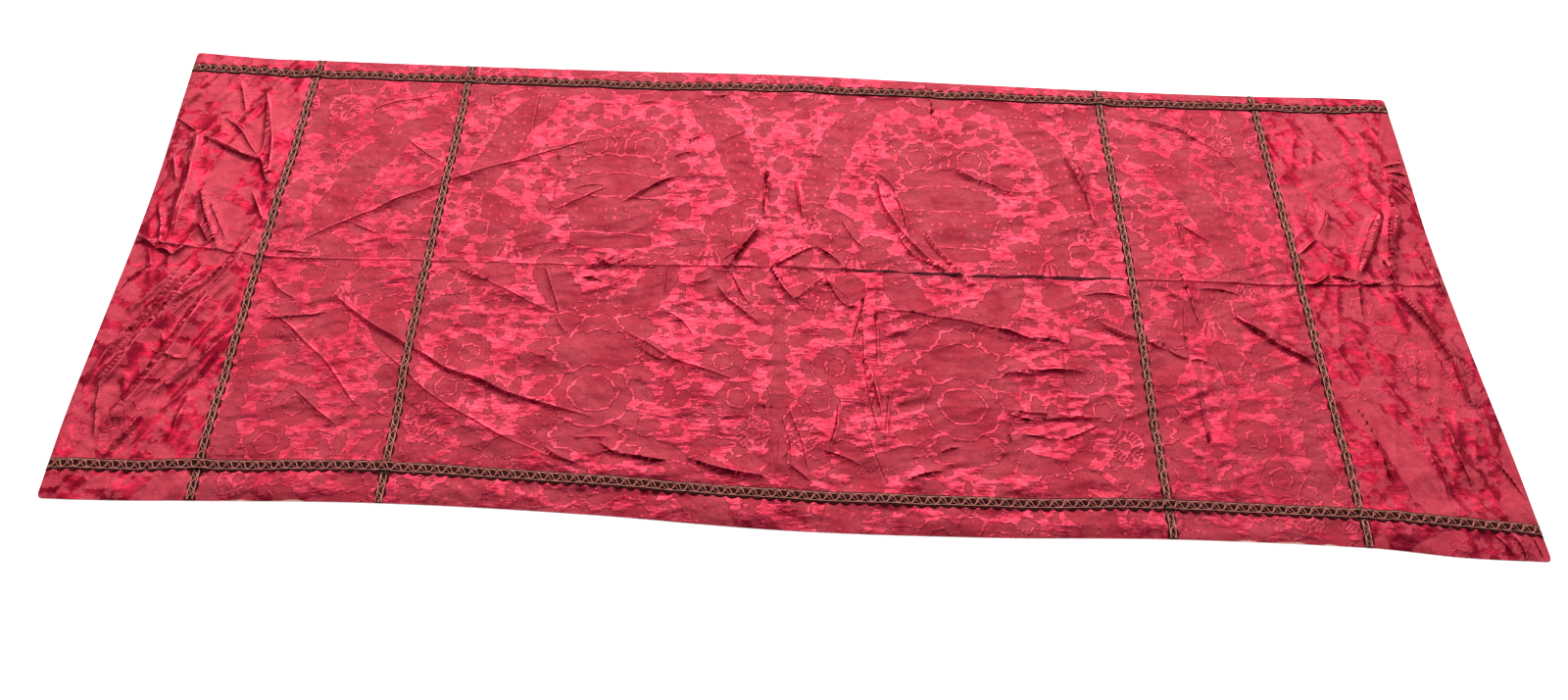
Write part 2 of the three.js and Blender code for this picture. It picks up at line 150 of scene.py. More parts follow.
creases = (
    # from_x, from_y, to_x, to_y, bow, half, rise, steep
    (-280, 132, -214, 190, 5, 9, 3, 0.5),
    (-63, 222, -64, 106, 0, 7, 3, 0.6),
    (-33, 300, -30, 180, 0, 6, -2, 1.0),
    (-14, 196, -6, 122, 0, 7, 3, 0.6),
    (-115, 12, -72, 92, 2, 9, 3.5, 0.5),
    (-130, 20, -92, 58, 0, 7, 2.5, 0.5),
    (-52, 12, 22, 56, 2, 9, 3.5, 0.5),
    (20, 56, 64, 14, 3, 9, 3.5, 0.5),
    (-52, 10, -8, -54, -4, 9, 3, 0.5),
    (-10, -52, 34, 0, 3, 8, 3, 0.5),
    (34, 0, 68, -56, -4, 9, 3, 0.5),
    (66, -56, 84, -55, 0, 7, 2.5, 0.5),
    (-112, 4, -84, -62, -3, 8, 3, 0.5),
    (-84, -62, -68, -90, 0, 6, 2.5, 0.5),
    (96, -40, 72, -128, 2, 9, 3, 0.5),
    (110, -44, 112, -168, 2, 7, 2.5, 0.6),
    (98, -160, 118, -244, 0, 9, 4, 0.5),
    (52, -226, 38, -306, 6, 8, 3, 0.5),
    (128, -206, 120, -300, 0, 7, 2.5, 0.6),
    (120, 212, 152, 168, 6, 9, 3.5, 0.5),
    (152, 168, 168, 90, 3, 9, 4, 0.5),
    (152, 92, 186, 34, -5, 9, 3.5, 0.5),
    (176, 50, 232, 16, -4, 8, 3, 0.5),
    (192, 92, 258, -6, -2, 8, 3, 0.5),
    (176, 276, 300, 196, -6, 26, -2.4, 0.8),
    (248, 232, 330, 196, -7, 14, 2.2, 0.5),
    (60, 118, 100, 52, -3, 7, 2.5, 0.5),
    (100, 300, 116, 250, 6, 7, 2, 0.6),
    (446, 270, 472, 196, 4, 8, 2.5, 0.5),
    (470, 196, 482, 118, -4, 7, 2.5, 0.5),
    (458, 390, 446, 318, 3, 8, 2, 0.6),
    (212, 436, 220, 330, 3, 8, 2, 0.6),
    (-404, -2, -372, -96, 3, 9, 2.6, 0.5),
    (-376, -96, -356, -124, -3, 7, 2, 0.5),
    (-542, -10, -486, -36, -5, 9, 2, 0.4),
    (-246, -148, -206, -166, -4, 7, 2.4, 0.4),
    (-216, -80, -166, -126, 8, 12, 2.4, 0.5),
    (-214, 6, -216, -50, 3, 7, 1.8, 0.6),
    (-168, -24, -146, -10, -3, 6, 2, 0.5),
    (-370, -318, -318, -344, -4, 8, 3, 0.4),
    (-424, -284, -300, -362, -8, 26, -2.6, 1.0),
    (-290, -308, -252, -328, -4, 7, 3, 0.4),
    (-252, -326, -190, -334, -2, 7, 2.6, 0.4),
    (-164, -328, -52, -354, -3, 8, 3, 0.4),
    (-330, -306, -276, -300, 2, 6, 2, 0.4),
    (-46, -190, -46, -350, 0, 6, 1.6, 0.8),
    (-56, -200, -62, -330, 2, 6, 1.6, 0.8),
    (-30, -250, -14, -340, 2, 7, 2, 0.6),
    (-24, -230, 10, -350, 4, 8, 2.4, 0.6),
    (-36, -280, -34, -372, 0, 6, 1.8, 0.8),
    (404, -6, 398, -360, -3, 5, -1.2, 1.0),
    (300, -20, 302, -340, 3, 5, -1.0, 1.0),
    (-410, 20, -404, 290, 4, 5, -1.2, 1.0),
    (-458, 250, -454, 380, 2, 8, 2.0, 0.6),
    (-200, 268, -168, 290, -3, 8, 2.4, 0.4),
    (-220, 226, -188, 244, 3, 8, 2.2, 0.4),
    (-292, 344, -244, 352, 4, 8, 2, 0.4),
    (-176, 374, -134, 380, -3, 8, 2.6, 0.4),
    (-146, 270, -96, 300, 0, 7, 1.6, 0.5),
    (-380, 150, -322, 160, 5, 7, 2, 0.4),
    (-336, 4, -300, 26, -4, 7, 2.6, 0.4),
    (-330, 22, -290, 4, -4, 7, 2.4, 0.4),
    (-300, 8, -262, 22, 3, 7, 2.2, 0.4),
    (-350, -22, -310, -30, 4, 7, 2.2, 0.4),
    (-300, -34, -270, -20, 0, 6, 2, 0.4),
    (464, -74, 512, -98, -3, 8, 3.2, 0.4),
    (300, -170, 352, -174, 3, 12, 3, 0.35),
    (352, -166, 420, -158, 3, 12, 3, 0.35),
    (300, -236, 352, -244, -4, 12, 3, 0.35),
    (352, -244, 436, -242, 4, 12, 3, 0.35),
    (320, -274, 372, -276, 3, 8, 2, 0.4),
    (372, -278, 440, -250, -2, 8, 2, 0.4),
    (290, -90, 350, -104, 4, 16, 3, 0.4),
    (340, -108, 410, -112, 6, 14, 2.6, 0.4),
    (200, -306, 230, -296, 2, 7, 2.6, 0.4),
    (150, -350, 206, -334, 2, 8, 2.6, 0.4),
    (30, -310, 90, -332, 4, 9, 2.2, 0.4),
    (-20, -334, 12, -356, 2, 8, 2.8, 0.4),
    (436, -22, 520, -20, 6, 16, 2.6, 0.4),
    (680, -50, 742, -90, -2, 7, 3.4, 0.35),
    (742, -90, 792, -132, -3, 7, 3.4, 0.35),
    (612, 150, 618, 86, 3, 8, 2.4, 0.6),
    (614, 146, 668, 102, -6, 9, 2.6, 0.4),
    (626, 110, 636, 46, 2, 7, 1.8, 0.6),
    (560, -110, 592, -128, -4, 8, 3, 0.4),
    (536, -106, 560, -104, 3, 7, 2.4, 0.4),
    (592, -130, 624, -138, 4, 7, 2.4, 0.4),
    (592, -150, 596, -282, 2, 6, 2.2, 0.6),
    (556, -212, 580, -240, -3, 6, 2, 0.5),
    (604, -20, 590, -110, -3, 6, 1.8, 0.6),
    (636, -120, 642, -178, 2, 6, 1.8, 0.6),
    (630, 0, 700, -6, 4, 12, 2.6, 0.35),
    (560, 364, 720, 320, 8, 22, 2.6, 0.5),
    (640, 350, 750, 250, 10, 20, 2.2, 0.5),
    (-780, 350, -826, 330, 0, 8, 2.2, 0.6),
    (-742, 300, -620, 346, 10, 24, 2.4, 0.5),
    (-660, 250, -590, 196, -6, 18, 2.4, 0.5),
    (-716, 66, -676, 46, 0, 7, 2.6, 0.4),
    (-828, 0, -774, 2, 4, 8, 2.6, 0.4),
    (-820, -40, -764, -86, -8, 18, 2.4, 0.5),
    (-812, -118, -716, -104, -6, 10, 2.6, 0.4),
    (-760, -112, -640, -250, -10, 26, -2.4, 1.0),
    (-740, -236, -660, -300, 0, 16, 2.2, 0.5),
    (-1046, 272, -1004, 240, 0, 9, 3.5, 0.5),
    (-1004, 238, -992, 130, 4, 9, 4, 0.5),
    (-992, 130, -986, 26, -3, 8, 3.5, 0.5),
    (-990, 228, -888, 184, -4, 8, 3.4, 0.4),
    (-968, 274, -888, 186, 3, 9, 3.6, 0.5),
    (-914, 340, -888, 190, 4, 9, 4, 0.5),
    (-888, 190, -864, 134, 0, 8, 3, 0.5),
    (-1026, 90, -1000, 4, 5, 8, 3.4, 0.5),
    (-1042, 26, -1002, -2, 0, 8, 3.4, 0.4),
    (-1002, -2, -976, -12, 4, 8, 3, 0.4),
    (-976, -12, -958, 8, 0, 8, 3, 0.5),
    (-964, 112, -912, 8, -3, 8, 3.4, 0.5),
    (-946, 96, -900, 20, 0, 7, 2.6, 0.5),
    (-856, 42, -910, -56, 4, 9, 3.6, 0.6),
    (-860, 28, -908, -82, 3, 9, 3.6, 0.6),
    (-934, -32, -1018, -234, 8, 10, 4, 0.5),
    (-908, -80, -984, -304, 8, 10, 4, 0.5),
    (-948, -10, -1010, -200, 8, 9, 3.4, 0.5),
    (-852, -152, -928, -254, 4, 9, 3.2, 0.5),
    (-960, -60, -1040, -236, 6, 10, 4, 0.45),
    (-892, -30, -958, -108, 4, 9, 4, 0.45),
    (-950, -22, -1012, -124, 5, 9, 4, 0.45),
    (-966, -128, -1016, -258, 5, 8, 3.2, 0.45),
    (-926, -140, -968, -262, 5, 8, 3, 0.45),
    (-952, 50, -926, 12, 0, 8, 3.6, 0.5),
    (-886, 120, -852, 58, 0, 8, 3.4, 0.5),
    (-880, -266, -888, -312, 0, 8, 2.4, 0.6),
    (-936, -288, -962, -346, 0, 9, 3, 0.5),
    (-1036, -84, -1002, -26, 3, 8, 3, 0.6),
    (-950, -150, -930, -206, 3, 7, 2.4, 0.6),
    (-960, -180, -900, -196, -5, 6, 2, 0.5),
    (-1030, 190, -1008, 130, 2, 8, 3, 0.6),
    (-1010, -240, -990, -330, -3, 10, 3, 0.6),
    (-1020, 330, -1044, 290, 0, 9, 3, 0.6),
    (-966, 356, -940, 290, 3, 9, 3, 0.6),
    (998, 256, 1040, 228, 0, 6, 2.6, 0.5),
    (1000, 268, 1042, 262, 0, 6, 2.6, 0.5),
    (1002, 280, 1040, 290, 0, 6, 2.4, 0.5),
    (1004, 244, 1034, 200, 0, 6, 2.4, 0.5),
    (998, 218, 972, 110, 5, 9, 4, 0.5),
    (972, 110, 968, 80, 0, 8, 3, 0.5),
    (986, 192, 962, 84, -3, 8, 3, 0.5),
    (966, 178, 896, 42, 5, 9, 3.6, 0.6),
    (946, 80, 952, 10, 3, 9, 3.6, 0.5),
    (952, 10, 1006, -120, 6, 10, 3.8, 0.5),
    (1006, -110, 1008, -190, 0, 8, 3, 0.5),
    (1008, 98, 1034, 4, 4, 9, 3, 0.6),
    (894, 32, 888, -42, 3, 7, 2.6, 0.6),
    (806, 78, 846, 112, 0, 9, 2.8, 0.6),
    (812, 16, 850, 44, -3, 8, 3, 0.5),
    (850, 40, 900, 26, 3, 8, 3, 0.4),
    (900, 26, 940, 34, -3, 7, 2.4, 0.4),
    (960, -240, 972, -328, -3, 9, 3.4, 0.5),
    (924, -274, 934, -352, 5, 9, 3.2, 0.5),
    (1018, -280, 1046, -350, 3, 10, 3, 0.5),
    (830, -190, 850, -330, 8, 20, 2.6, 0.8),
    (876, 180, 850, 120, 3, 16, 2.6, 0.6),
    (1004, -398, 1022, -440, 2, 8, 3, 0.5),
    (984, -404, 1004, -436, 2, 8, 2.6, 0.5),
    (1036, -402, 1048, -440, 0, 7, 2.4, 0.5),
)
crumples = (
    # rise, length, width, turn, seed, sharpness: the random ridges of the two outer panels
    (3.2, 170, 34, 68, 15, 2.6),
    (2.0, 120, 19, 64, 29, 2.6),
    (2.2, 130, 30, 106, 16, 2.4),
    (1.0, 80, 26, -24, 18, 2),
)
storage_crease_rise = 2.4
storage_crease_half = 15
storage_crease_shade_from = 521
seam_braid_half = 7.0
side_braid_half = 8.5
braid_ramp = 8.0
outer_panels_from = 800
lowest_top = 1.0
resting_top = 2.4
high_top = 11.0
hem_top = 1.2
hem_ramp = 26
centre_seam_dip = 0.12
centre_seam_half = 4
cell = 3.25
outer_cell = 2.8
crest_pull = 4.8
# the painted shadow line beside the crests: its strength for each fold and how far it reaches, in mm
shadow_line_share = 0.75
shadow_line_reach = 8.0
wander = 2.5
hill_columns = 97
hill_rows = 89


def rumple(x, y, cell_x, cell_y, turn, seed):
    """Smooth random hills and hollows between -1 and 1, about one for each cell."""
    values = np.random.default_rng(seed).uniform(-1, 1, (hill_columns, hill_rows))
    angle = math.radians(turn)
    u = (x * math.cos(angle) + y * math.sin(angle)) / cell_x
    v = (y * math.cos(angle) - x * math.sin(angle)) / cell_y
    i = np.floor(u).astype(int)
    j = np.floor(v).astype(int)
    s = u - i
    t = v - j
    s = s * s * (3 - 2 * s)
    t = t * t * (3 - 2 * t)

    def row_of_hills(up):
        across = values[i % hill_columns, (j + up) % hill_rows] * (1 - s)
        return across + values[(i + 1) % hill_columns, (j + up) % hill_rows] * s

    return row_of_hills(0) * (1 - t) + row_of_hills(1) * t


def ridges(x, y, length, width, turn, seed, sharpness):
    """Random narrow ridges: 1 along their crests, falling away on both sides."""
    return (1 - np.abs(rumple(x, y, length, width, turn, seed))) ** sharpness


def off_crest(row, x, y):
    """The places near one fold or crease, how far they are off its crest, and their part of its length."""
    from_x, from_y, to_x, to_y, bow, half, *_ = row
    reach = half + abs(bow)
    near = (x > min(from_x, to_x) - reach) & (x < max(from_x, to_x) + reach)
    near &= (y > min(from_y, to_y) - reach) & (y < max(from_y, to_y) + reach)
    run_x = to_x - from_x
    run_y = to_y - from_y
    length = math.hypot(run_x, run_y)
    away_x = x[near] - from_x
    away_y = y[near] - from_y
    part = np.clip((away_x * run_x + away_y * run_y) / length**2, 0, 1)
    off = (away_y * run_x - away_x * run_y) / length - 4 * bow * part * (1 - part)
    return near, off, part


def add_crest(height, row, x, y, sharp, power):
    """Adds one row of a fold table to the height near it: a crest that dies away at both ends."""
    half, rise, steep = row[-3:]
    near, off, part = off_crest(row, x, y)
    off = np.clip(np.abs(np.where(off < 0, off / (half * steep), off / half)), 0, 1)
    round_crest = np.cos(off * math.pi / 2) ** 2
    sharp_crest = (1 - off) ** 1.7
    ends = np.clip(np.sin(part * math.pi), 0, 1) ** 0.6
    height[near] += (rise * ends * (round_crest * (1 - sharp) + sharp_crest * sharp)) ** power


def held(offset, half, ramp):
    """An offset from a braid's line, pressed to nothing under the braid and let go beside it."""
    far = half + ramp
    away = np.abs(offset)
    pressed = np.clip((away - half) / ramp, 0, 1) * far
    return np.where(away < far, np.sign(offset) * pressed, offset)


def wandered(x, y):
    """The same places moved a little, so that folds and creases don't run too straight."""
    return x + wander * rumple(x, y, 46, 46, 20, 3), y + wander * rumple(x, y, 46, 46, 50, 4)


def drawn_to_crests(x, y):
    """Moves the mesh's points that are near a crease onto its crest, so that the crest stays crisp."""
    for row in folds + creases:
        near, off, part = off_crest(row, *wandered(x, y))
        run_x = row[2] - row[0]
        run_y = row[3] - row[1]
        length = math.hypot(run_x, run_y)
        share = np.clip((crest_pull - np.abs(off)) / (crest_pull - cell / 2), 0, 1)
        share = share * share * (3 - 2 * share) * (part > 0.03) * (part < 0.97)
        x[near] += off * share * run_y / length
        y[near] -= off * share * run_x / length
    return x, y


def nearest_crest(x, y):
    """How far each place is off the crest next to it, and how strong the painted shadow line and highlight
    of that crest are there.
    """
    off_crease = y - along_y("crease", x)
    on_crease = np.abs(off_crease) < shadow_line_reach
    closest = np.where(on_crease, off_crease, shadow_line_reach)
    strength = np.where(on_crease, 0.85 + 0.35 * rumple(x, y, 60, 400, 0, 25), 0.0)
    # the storage crease's painted shadow line is stronger on the two right panels
    strength += 0.35 * (strength > 0) * (x > storage_crease_shade_from)
    wander_x, wander_y = wandered(x, y)
    for row in folds + creases:
        near, off, part = off_crest(row, wander_x, wander_y)
        ends = np.clip(np.sin(part * math.pi) * 2.2, 0, 1)
        ends *= (np.abs(off) < shadow_line_reach) * (part > 0) * (part < 1)
        share = shadow_line_share * max(row[6], 0) ** 0.6 * max(0, 1.15 - row[7]) * ends
        better = (share > 0) & (np.abs(off) / (share + 0.2) < np.abs(closest[near]) / (strength[near] + 0.2))
        closest[near] = np.where(better, off, closest[near])
        strength[near] = np.where(better, share, strength[near])
    return closest, strength


def silk_top(x, y):
    """The height of the silk's face, in millimetres, at places given in millimetres."""
    nearest = np.full_like(x, 1000.0)
    for seam in braided_seams:
        line = across_x(seam, y)
        nearest = np.minimum(nearest, np.abs(x - line))
        x = line + held(x - line, seam_braid_half, braid_ramp)
    for braid in ("top_braid", "bottom_braid"):
        line = along_y(braid, x)
        nearest = np.minimum(nearest, np.abs(y - line))
        y = line + held(y - line, side_braid_half, braid_ramp)
    wander_x, wander_y = wandered(x, y)
    squares = np.zeros_like(x)
    for row in folds:
        add_crest(squares, row, wander_x, wander_y, 0.7, 2)
    height = np.sqrt(squares)
    creased = np.zeros_like(x)
    for row in creases:
        add_crest(creased, row, wander_x, wander_y, 0.8, 1)
    off_crease = y - along_y("crease", x)
    off_crease = np.where(off_crease > 0, off_crease, off_crease / 0.3) / storage_crease_half
    unevenness = 0.75 + 0.5 * rumple(x, y, 70, 400, 0, 19)
    height += storage_crease_rise * unevenness * np.clip(1 - np.abs(off_crease), 0, 1) ** 1.6
    outer = np.clip((np.abs(x + 20) - outer_panels_from) / 40, 0, 1)
    height = height * (0.7 + 0.45 * outer) + creased * (1 + 0.5 * outer)
    soft = rumple(x, y, 130, 90, 12, 11) * 1.5 + rumple(x, y, 62, 36, 8, 12) * 2.0
    streaks = rumple(x, y, 40, 17, 8, 13) * 0.7 + rumple(x, y, 24, 11, -14, 14) * 0.4
    where = np.clip(0.6 + rumple(x, y, 190, 150, 0, 26), 0, 1)
    streaks += 1.9 * where * ridges(wander_x, wander_y, 78, 23, 22, 20, 2.4)
    streaks += 1.7 * (1 - where) * ridges(wander_x, wander_y, 90, 26, -32, 27, 2.4)
    streaks += 0.9 * ridges(wander_x, wander_y, 52, 15, 4, 28, 2.4)
    crumple = sum(rise * ridges(-np.abs(wander_x), wander_y, *ridge) for rise, *ridge in crumples)
    crumple *= 1 - 0.25 * (x > 0)
    pucker = np.sin((x + y) * 0.42 + 3 * rumple(x, y, 40, 40, 0, 17)) * np.clip(1 - (nearest - 9) / 26, 0, 1)
    pucker *= np.clip((nearest - 8) / 6, 0, 1)
    height += soft + streaks * (1 - 0.7 * outer) + outer * (crumple - 1.6) + 0.35 * pucker
    height += resting_top
    height = np.where(height > high_top, high_top + 0.35 * (height - high_top), height)
    height -= centre_seam_dip * np.clip(1 - np.abs(x - across_x("centre", y)) / centre_seam_half, 0, 1)
    hold = np.clip(np.minimum(*edge_gaps(x, y)) / hem_ramp, 0, 1)
    height = hem_top + (height - hem_top) * hold * (2 - hold)
    return np.maximum(height, lowest_top + 0.07 * (height - lowest_top))


# The woven figure
# A large damask repeat, 545 mm across and mirrored about its middle, with a fruit basket between spotted
# ribbons above and a palm, leaves and round flowers below. It is woven in, so it only marks the silk's face.
loom_width = 545
repeat_height = 695
repeat_bottom = -346
thread_gap = 3.1
plain, spotted, hatched = 0, 1, 2
leaves = (
    # x, y, turn, length, width, lobes, and a filling unless it is plain
    (0, 320, 90, 28, 15, 1),
    (4, 294, 62, 32, 17, 2),
    (6, 290, 22, 54, 20, 4),
    (14, 360, 40, 34, 28, 3),
    (58, 372, 6, 50, 32, 4),
    (36, 332, 0, 32, 26, 3),
    (60, 308, 24, 30, 26, 2),
    (66, 284, -12, 34, 24, 3),
    (74, 226, 16, 44, 30, 3),
    (46, 196, 10, 78, 44, 4),
    (38, 170, -6, 66, 38, 4),
    (60, 112, 10, 50, 32, 2, spotted),
    (152, 58, 168, 62, 36, 3),
    (160, 60, 8, 56, 34, 3),
    (152, 46, 196, 66, 46, 4),
    (160, 46, -38, 56, 36, 3),
    (152, 40, 250, 36, 6, 1),
    (157, 38, 268, 40, 5, 1),
    (163, 40, 288, 36, 6, 1),
    (108, 96, 74, 44, 24, 4),
    (148, 150, 20, 40, 26, 3),
    (244, 116, 160, 30, 16, 2),
    (272, 205, 90, 44, 34, 3),
    (264, 176, 250, 40, 20, 2),
    (216, 350, -22, 46, 30, 5),
    (214, 376, 190, 56, 24, 4),
    (150, 380, 176, 50, 22, 3),
    (230, 296, 40, 34, 28, 3),
    (56, 22, 22, 50, 26, 3),
    (112, -4, 150, 66, 34, 4, hatched),
    (30, 4, 16, 44, 18, 3),
    (40, -150, -4, 66, 38, 5),
    (36, -176, -22, 60, 32, 4),
    (24, -106, 26, 52, 30, 4),
    (176, -34, -34, 52, 34, 4),
    (170, -112, 8, 46, 26, 4),
    (206, -84, 62, 48, 26, 3),
    (206, -190, 40, 46, 30, 3),
    (44, -206, -34, 60, 30, 4),
    (30, -262, -14, 52, 34, 4),
    (64, -284, 8, 42, 28, 3),
    (146, -324, 34, 54, 28, 4),
    (150, -330, -22, 64, 32, 4),
    (116, -246, 100, 44, 20, 3),
    (124, -250, 64, 42, 18, 3),
    (214, -326, 66, 52, 26, 3),
    (90, -356, 8, 70, 30, 5),
    (20, -340, 24, 60, 30, 4),
    (264, -58, 128, 52, 30, 4),
    (262, -92, 150, 50, 28, 4),
    (262, -130, 158, 46, 26, 3),
    (262, -262, 152, 50, 26, 4),
    (258, -296, 166, 46, 26, 3),
    (256, -332, 178, 50, 28, 4),
    (252, 14, 130, 48, 28, 3),
    (250, 2, 200, 46, 26, 3),
    (228, -30, 150, 36, 18, 3),
)
round_flowers = (
    # x, y, radius_x, radius_y, petals, depth, and a filling unless it is plain
    (0, 254, 27, 36, 6, 0.05, spotted),
    (43, 248, 34, 36, 11, 0.07),
    (43, 250, 18, 18, 7, 0.07),
    (0, 196, 74, 34, 14, 0.06),
    (0, 160, 86, 30, 16, 0.05),
    (50, -114, 34, 23, 8, 0.10),
    (0, -118, 30, 24, 8, 0.10),
    (0, -156, 62, 34, 12, 0.09),
    (0, -300, 48, 26, 9, 0.09),
    (0, -232, 55, 48, 9, 0.06),
    (0, -228, 33, 28, 6, 0.05, hatched),
    (188, -166, 32, 33, 20, 0.09),
    (188, -166, 13, 13, 8, 0.10),
    (212, -228, 29, 28, 6, 0.12),
    (212, -228, 14, 14, 5, 0.10),
    (166, -24, 27, 27, 7, 0.10),
    (214, 66, 18, 15, 5, 0.14),
)
florets = (
    # x, y, radius, petals
    (96, 300, 11, 5),
    (88, 264, 10, 4),
    (238, 298, 14, 3),
    (222, 345, 7, 4),
    (220, 324, 6, 3),
    (222, 276, 7, 3),
    (226, 258, 6, 3),
    (246, 250, 13, 5),
    (240, 226, 9, 4),
    (128, 156, 12, 5),
    (132, 208, 9, 4),
    (138, 232, 7, 3),
    (128, 20, 10, 4),
    (20, -60, 13, 6),
    (0, -50, 9, 5),
    (104, -176, 14, 5),
    (126, -190, 12, 5),
    (120, -146, 10, 4),
    (96, -206, 8, 4),
    (150, -214, 10, 4),
    (126, -284, 11, 5),
    (182, -282, 10, 5),
    (148, -76, 10, 4),
    (226, -48, 12, 5),
    (196, -58, 8, 4),
    (112, -74, 9, 4),
)
daisies = (
    # x, y, radius, petals
    (236, -284, 25, 20),
    (226, 100, 14, 12),
)
ribbons = (
    # width, filling, then the points that it runs through
    (56, spotted, (128, 354), (150, 322), (178, 290), (188, 256), (200, 218), (214, 182), (216, 150)),
    (52, spotted, (226, 132), (204, 114), (178, 100), (160, 82)),
    (56, hatched, (96, 14), (84, -24), (62, -58), (34, -80), (-6, -94)),
    (36, plain, (38, -290), (72, -310), (118, -326), (152, -350)),
    (5, plain, (150, -204), (122, -214), (98, -206)),
    (4, plain, (222, 356), (220, 324), (224, 290), (226, 246)),
    (4, plain, (108, 128), (124, 146), (130, 172)),
)
basket = {"top": 138, "foot_top": 68, "foot_bottom": 36, "half_top": 92, "half_bottom": 62}
palm = {"x": 272.5, "top": -64, "bottom": -352, "half_top": 12, "half_bottom": 24, "frond": 22}
sprig_cell = 27
sprig_columns = 10
sprig_rows = 27
sprigs_from = -340
sprig_clearance = 3.6


def leaf_shape(row, x, y):
    """A pointed leaf with lobed edges: millimetres inside its outline, negative outside."""
    at_x, at_y, turn, length, width, lobes, *_ = row
    angle = math.radians(turn)
    along = (x - at_x) * math.cos(angle) + (y - at_y) * math.sin(angle)
    across = (y - at_y) * math.cos(angle) - (x - at_x) * math.sin(angle)
    part = np.clip(along / length, 0, 1)
    edge = width / 2 * np.sin(part**0.8 * math.pi) ** 0.75
    edge *= 0.72 + 0.38 * np.abs(np.cos(1.5 * lobes * math.pi * part))
    return edge - np.hypot(across, along - part * length)


def round_shape(row, x, y):
    at_x, at_y, radius_x, radius_y, petals, depth, *_ = row
    away_x = (x - at_x) / radius_x
    away_y = (y - at_y) / radius_y
    edge = 1 - depth + depth * np.abs(np.cos(petals / 2 * np.arctan2(away_y, away_x))) * 2
    return (edge - np.hypot(away_x, away_y)) * min(radius_x, radius_y)


def floret_shape(row, x, y):
    at_x, at_y, radius, petals = row
    away = np.hypot(x - at_x, y - at_y)
    petal = np.abs(np.cos(petals / 2 * np.arctan2(y - at_y, x - at_x) + at_x))
    return np.maximum(radius * (0.35 + 0.75 * petal) - away, radius * 0.3 - away)


def daisy_shape(row, x, y):
    at_x, at_y, radius, petals = row
    away = np.hypot(x - at_x, y - at_y)
    petal = np.cos(petals * np.arctan2(y - at_y, x - at_x)) * away * 0.12 + 0.4
    ring = np.minimum(radius - away, away - radius * 0.42)
    return np.maximum(np.minimum(petal, ring), radius * 0.3 - away)


def ribbon_shape(row, x, y):
    """A band of even width round a bent line, with scalloped edges."""
    width, _, *points = row
    nearest = np.full_like(x, 1000.0)
    run = np.zeros_like(x)
    done = 0.0
    for (ax, ay), (bx, by) in zip(points, points[1:]):
        length = math.hypot(bx - ax, by - ay)
        part = np.clip(((x - ax) * (bx - ax) + (y - ay) * (by - ay)) / length**2, 0, 1)
        away = np.hypot(x - ax - part * (bx - ax), y - ay - part * (by - ay))
        run = np.where(away < nearest, done + part * length, run)
        nearest = np.minimum(nearest, away)
        done += length
    ends = np.clip(np.minimum(run, done - run) / (width * 0.7), 0, 1)
    scallops = 0.9 + 0.14 * np.abs(np.cos(run / 9.0))
    return width / 2 * (0.55 + 0.45 * np.sqrt(ends)) * scallops - nearest


def basket_shape(x, y):
    """The basket's wall, and its foot band below."""
    part = np.clip((basket["top"] - y) / (basket["top"] - basket["foot_top"]), 0, 1)
    half = basket["half_top"] + (basket["half_bottom"] - basket["half_top"]) * part**0.7
    wall = np.minimum(half - x, np.minimum(basket["top"] - y, y - basket["foot_top"]))
    sag = 8 * (x / basket["half_bottom"]) ** 2
    foot = np.minimum(basket["half_bottom"] + 3 - x, basket["foot_top"] - thread_gap - y)
    foot = np.minimum(foot, y - basket["foot_bottom"] - sag)
    return wall, foot


def palm_shape(x, y):
    part = np.clip((palm["top"] - y) / (palm["top"] - palm["bottom"]), 0, 1)
    half = palm["half_top"] + (palm["half_bottom"] - palm["half_top"]) * part
    fronds = np.abs(np.cos((y + 0.9 * (palm["x"] - x)) * math.pi / palm["frond"]))
    inside = half * (0.45 + 0.55 * fronds) - (palm["x"] - x)
    return np.minimum(inside, np.minimum(palm["top"] - y + 10, y - palm["bottom"]))


def woven_motifs(across, up):
    """All of the repeat's motifs: how far inside them each place is, in millimetres, and their filling."""
    figure = np.full_like(across, -20.0)
    dots = np.zeros_like(across)
    lines = np.zeros_like(across)

    def weave(shape, filling=plain):
        nonlocal figure
        figure = np.maximum(np.minimum(figure, -(shape + thread_gap)), shape)
        dots[shape > 0] = filling == spotted
        lines[shape > 0] = filling == hatched

    weave(palm_shape(across, up), hatched)
    for row in ribbons:
        weave(ribbon_shape(row, across, up), row[1])
    for row in leaves:
        weave(leaf_shape(row, across, up), *row[6:])
    for row in round_flowers:
        weave(round_shape(row, across, up), *row[6:])
    wall, foot = basket_shape(across, up)
    weave(wall, spotted)
    weave(foot, hatched)
    for row in florets:
        weave(floret_shape(row, across, up))
    for row in daisies:
        weave(daisy_shape(row, across, up))
    return figure, dots, lines


def find_sprigs():
    """Places for small sprigs: one near the middle of each cell of the open ground that has room for it."""
    chance = np.random.default_rng(41)
    columns, rows = np.meshgrid(np.arange(sprig_columns), np.arange(sprig_rows))
    x = (columns.ravel() + chance.uniform(0.25, 0.75, columns.size)) * sprig_cell
    y = (rows.ravel() + chance.uniform(0.25, 0.75, rows.size)) * sprig_cell + sprigs_from
    sizes = chance.uniform(5.5, 10.5, columns.size)
    petals = chance.integers(3, 6, columns.size)
    room = -woven_motifs(x, y)[0]
    fits = room > sizes * 0.4 + sprig_clearance
    return list(zip(x[fits], y[fits], sizes[fits], petals[fits]))


sprigs = find_sprigs()


